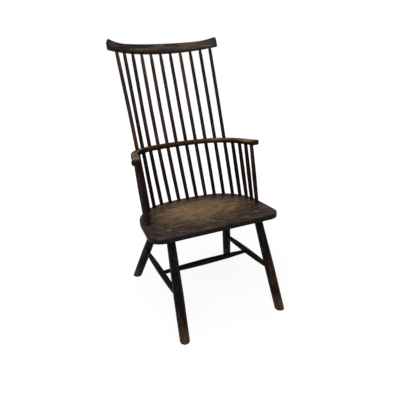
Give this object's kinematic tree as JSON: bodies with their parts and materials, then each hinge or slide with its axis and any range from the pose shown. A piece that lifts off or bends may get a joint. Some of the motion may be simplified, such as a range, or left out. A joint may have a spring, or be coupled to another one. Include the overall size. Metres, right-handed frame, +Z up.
{
  "type": "comb-back armchair",
  "caption": "Wooden stick armchair with a dished plank seat, splayed legs joined by an H of stretchers, a bent arm bow and a tall back of round sticks under a curved comb.",
  "frame": {"origin": "on the floor, under the middle of the chair's bounding box", "axes": "+Z up, the sitter faces -Y, +X is towards the right in a view from the front"},
  "size_m": [0.581, 0.7504, 1.1148],
  "materials": {
    "seat_wood": "worn near-black brown stain over a broad-grained plank, side-to-side grain",
    "arm_wood": "near-black brown stain, worn to ochre brown on top",
    "comb_wood": "near-black brown stain with a soft sheen",
    "wedge_wood": "paler wood under thin stain",
    "stick_wood": "near-black brown stain, reddish where it has worn",
    "leg_wood": "near-black brown stain under old wax"
  },
  "bodies": {
    "root": {"arm_bow": "arm_wood", "arm_stick_left_1": "stick_wood", "arm_stick_left_2": "stick_wood", "arm_stick_left_3": "stick_wood", "arm_stick_left_4": "stick_wood", "arm_stick_right_1": "stick_wood", "arm_stick_right_2": "stick_wood", "arm_stick_right_3": "stick_wood", "arm_stick_right_4": "stick_wood", "comb": "comb_wood", "front_leg_left": "leg_wood", "front_leg_right": "leg_wood", "leg_wedge_front_left": "wedge_wood", "leg_wedge_front_right": "wedge_wood", "leg_wedge_rear_left": "wedge_wood", "leg_wedge_rear_right": "wedge_wood", "long_stick_01": "stick_wood", "long_stick_02": "stick_wood", "long_stick_03": "stick_wood", "long_stick_04": "stick_wood", "long_stick_05": "stick_wood", "long_stick_06": "stick_wood", "long_stick_07": "stick_wood", "long_stick_08": "stick_wood", "long_stick_09": "stick_wood", "long_stick_10": "stick_wood", "long_stick_11": "stick_wood", "middle_stretcher": "leg_wood", "rear_leg_left": "leg_wood", "rear_leg_right": "leg_wood", "seat": "seat_wood", "side_stretcher_left": "leg_wood", "side_stretcher_right": "leg_wood"}
  },
  "joints": []
}
